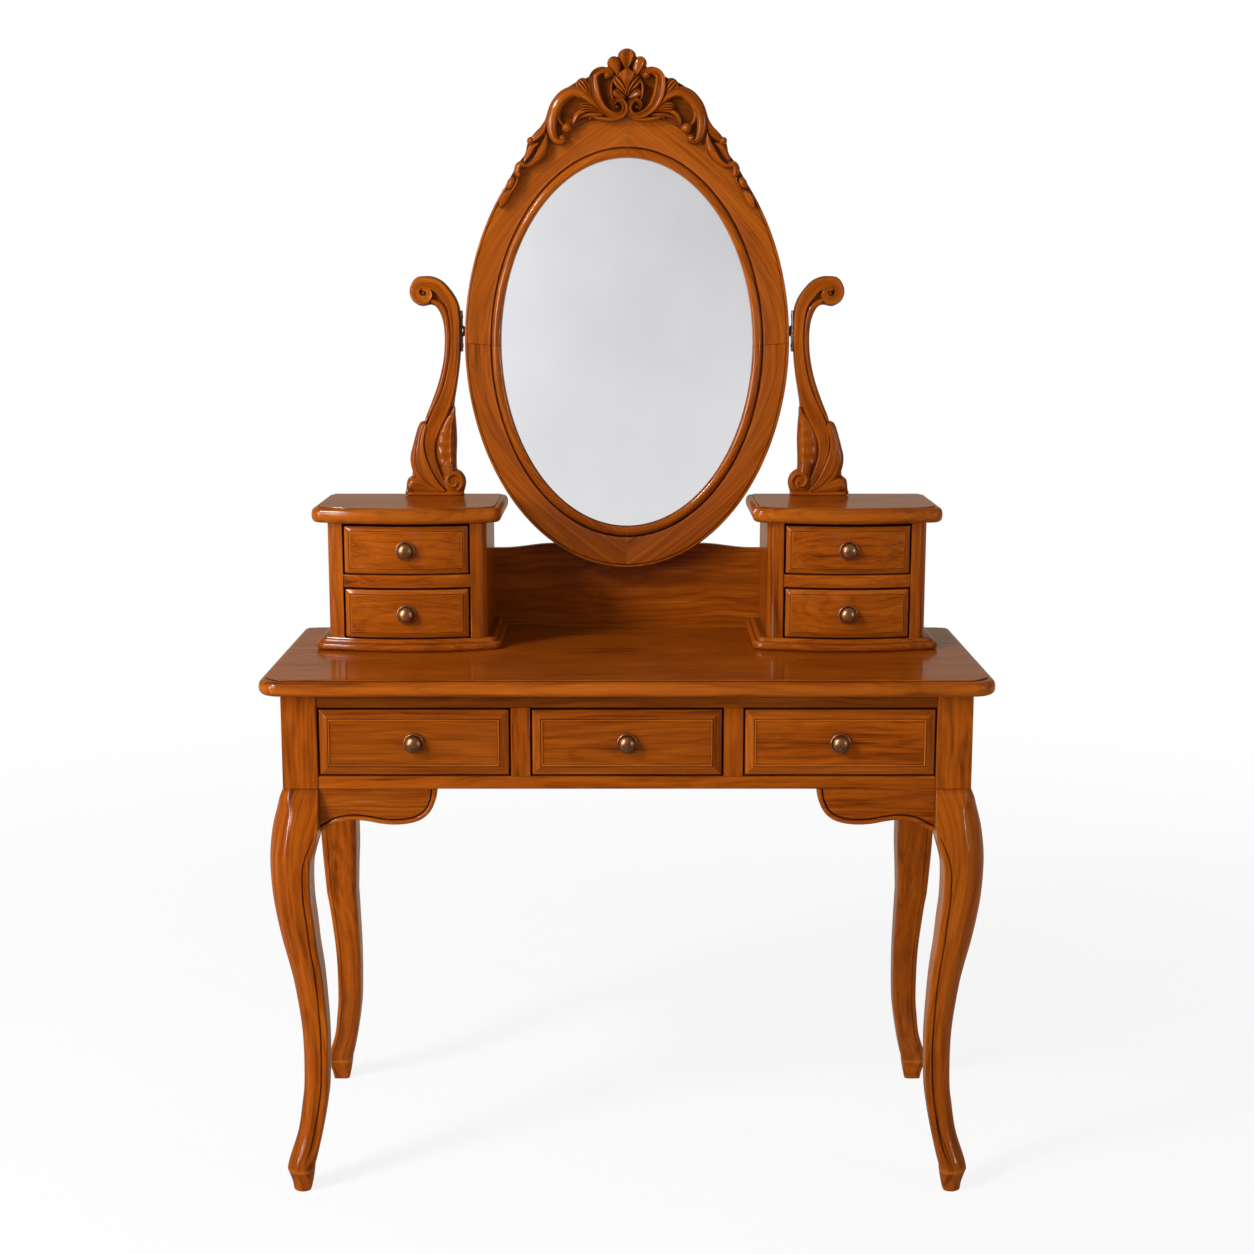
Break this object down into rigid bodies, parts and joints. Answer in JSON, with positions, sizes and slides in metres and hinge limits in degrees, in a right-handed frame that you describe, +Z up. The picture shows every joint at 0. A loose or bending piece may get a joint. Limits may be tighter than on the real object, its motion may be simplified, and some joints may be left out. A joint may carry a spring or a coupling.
{
  "type": "dressing table",
  "caption": "Wooden dressing table on cabriole legs, with drawers under the top, small drawer cabinets on it and a tilting oval mirror with a carved crest between scroll arms.",
  "frame": {"origin": "on the floor, under the middle of the whole table's width and depth", "axes": "+Z up, the drawers open towards -Y, +X to the right of someone who looks at the front"},
  "size_m": [1.02, 0.47, 1.635],
  "materials": {
    "polished_mahogany": "stained and lacquered to a satin gloss",
    "plain_drawer_wood": "sanded and waxed",
    "antique_bronze": "darkened, with a soft polish",
    "grey_steel": "brushed",
    "silvered_glass": "polished"
  },
  "bodies": {
    "table": {"table_top": "polished_mahogany", "front_left_leg": "polished_mahogany", "front_right_leg": "polished_mahogany", "rear_left_leg": "polished_mahogany", "rear_right_leg": "polished_mahogany", "upper_rail": "polished_mahogany", "lower_rail": "polished_mahogany", "left_divider": "polished_mahogany", "right_divider": "polished_mahogany", "left_apron": "polished_mahogany", "right_apron": "polished_mahogany", "back_apron": "polished_mahogany", "left_bracket": "polished_mahogany", "right_bracket": "polished_mahogany", "drawer_board": "plain_drawer_wood", "left_cabinet_top": "polished_mahogany", "left_cabinet_base": "polished_mahogany", "left_cabinet_outer_side": "polished_mahogany", "left_cabinet_inner_side": "polished_mahogany", "left_cabinet_back": "plain_drawer_wood", "left_cabinet_shelf": "polished_mahogany", "right_cabinet_top": "polished_mahogany", "right_cabinet_base": "polished_mahogany", "right_cabinet_outer_side": "polished_mahogany", "right_cabinet_inner_side": "polished_mahogany", "right_cabinet_back": "plain_drawer_wood", "right_cabinet_shelf": "polished_mahogany", "splash_panel": "polished_mahogany", "left_arm": "polished_mahogany", "right_arm": "polished_mahogany", "left_pivot": "grey_steel", "right_pivot": "grey_steel"},
    "left_drawer": {"left_drawer_front": "polished_mahogany", "left_drawer_sides": "plain_drawer_wood", "left_drawer_bottom": "plain_drawer_wood", "left_drawer_knob": "antique_bronze"},
    "middle_drawer": {"middle_drawer_front": "polished_mahogany", "middle_drawer_sides": "plain_drawer_wood", "middle_drawer_bottom": "plain_drawer_wood", "middle_drawer_knob": "antique_bronze"},
    "right_drawer": {"right_drawer_front": "polished_mahogany", "right_drawer_sides": "plain_drawer_wood", "right_drawer_bottom": "plain_drawer_wood", "right_drawer_knob": "antique_bronze"},
    "left_lower_drawer": {"left_lower_drawer_front": "polished_mahogany", "left_lower_drawer_box": "plain_drawer_wood", "left_lower_drawer_knob": "antique_bronze"},
    "left_upper_drawer": {"left_upper_drawer_front": "polished_mahogany", "left_upper_drawer_box": "plain_drawer_wood", "left_upper_drawer_knob": "antique_bronze"},
    "right_lower_drawer": {"right_lower_drawer_front": "polished_mahogany", "right_lower_drawer_box": "plain_drawer_wood", "right_lower_drawer_knob": "antique_bronze"},
    "right_upper_drawer": {"right_upper_drawer_front": "polished_mahogany", "right_upper_drawer_box": "plain_drawer_wood", "right_upper_drawer_knob": "antique_bronze"},
    "mirror": {"mirror_frame": "polished_mahogany", "mirror_glass": "silvered_glass", "mirror_backing": "plain_drawer_wood", "mirror_crest": "polished_mahogany"}
  },
  "joints": [
    {"name": "left_drawer_slide", "type": "slide", "parent": "table", "child": "left_drawer", "axis": [0, -1, 0], "range_m": [0, 0.26]},
    {"name": "middle_drawer_slide", "type": "slide", "parent": "table", "child": "middle_drawer", "axis": [0, -1, 0], "range_m": [0, 0.26]},
    {"name": "right_drawer_slide", "type": "slide", "parent": "table", "child": "right_drawer", "axis": [0, -1, 0], "range_m": [0, 0.26]},
    {"name": "left_lower_drawer_slide", "type": "slide", "parent": "table", "child": "left_lower_drawer", "axis": [0, -1, 0], "range_m": [0, 0.11]},
    {"name": "left_upper_drawer_slide", "type": "slide", "parent": "table", "child": "left_upper_drawer", "axis": [0, -1, 0], "range_m": [0, 0.11]},
    {"name": "right_lower_drawer_slide", "type": "slide", "parent": "table", "child": "right_lower_drawer", "axis": [0, -1, 0], "range_m": [0, 0.11]},
    {"name": "right_upper_drawer_slide", "type": "slide", "parent": "table", "child": "right_upper_drawer", "axis": [0, -1, 0], "range_m": [0, 0.11]},
    {"name": "mirror_tilt", "type": "hinge", "parent": "table", "child": "mirror", "pos_m": [0, 0.1635, 1.221], "axis": [-1, 0, 0], "range_deg": [-15, 20]}
  ]
}
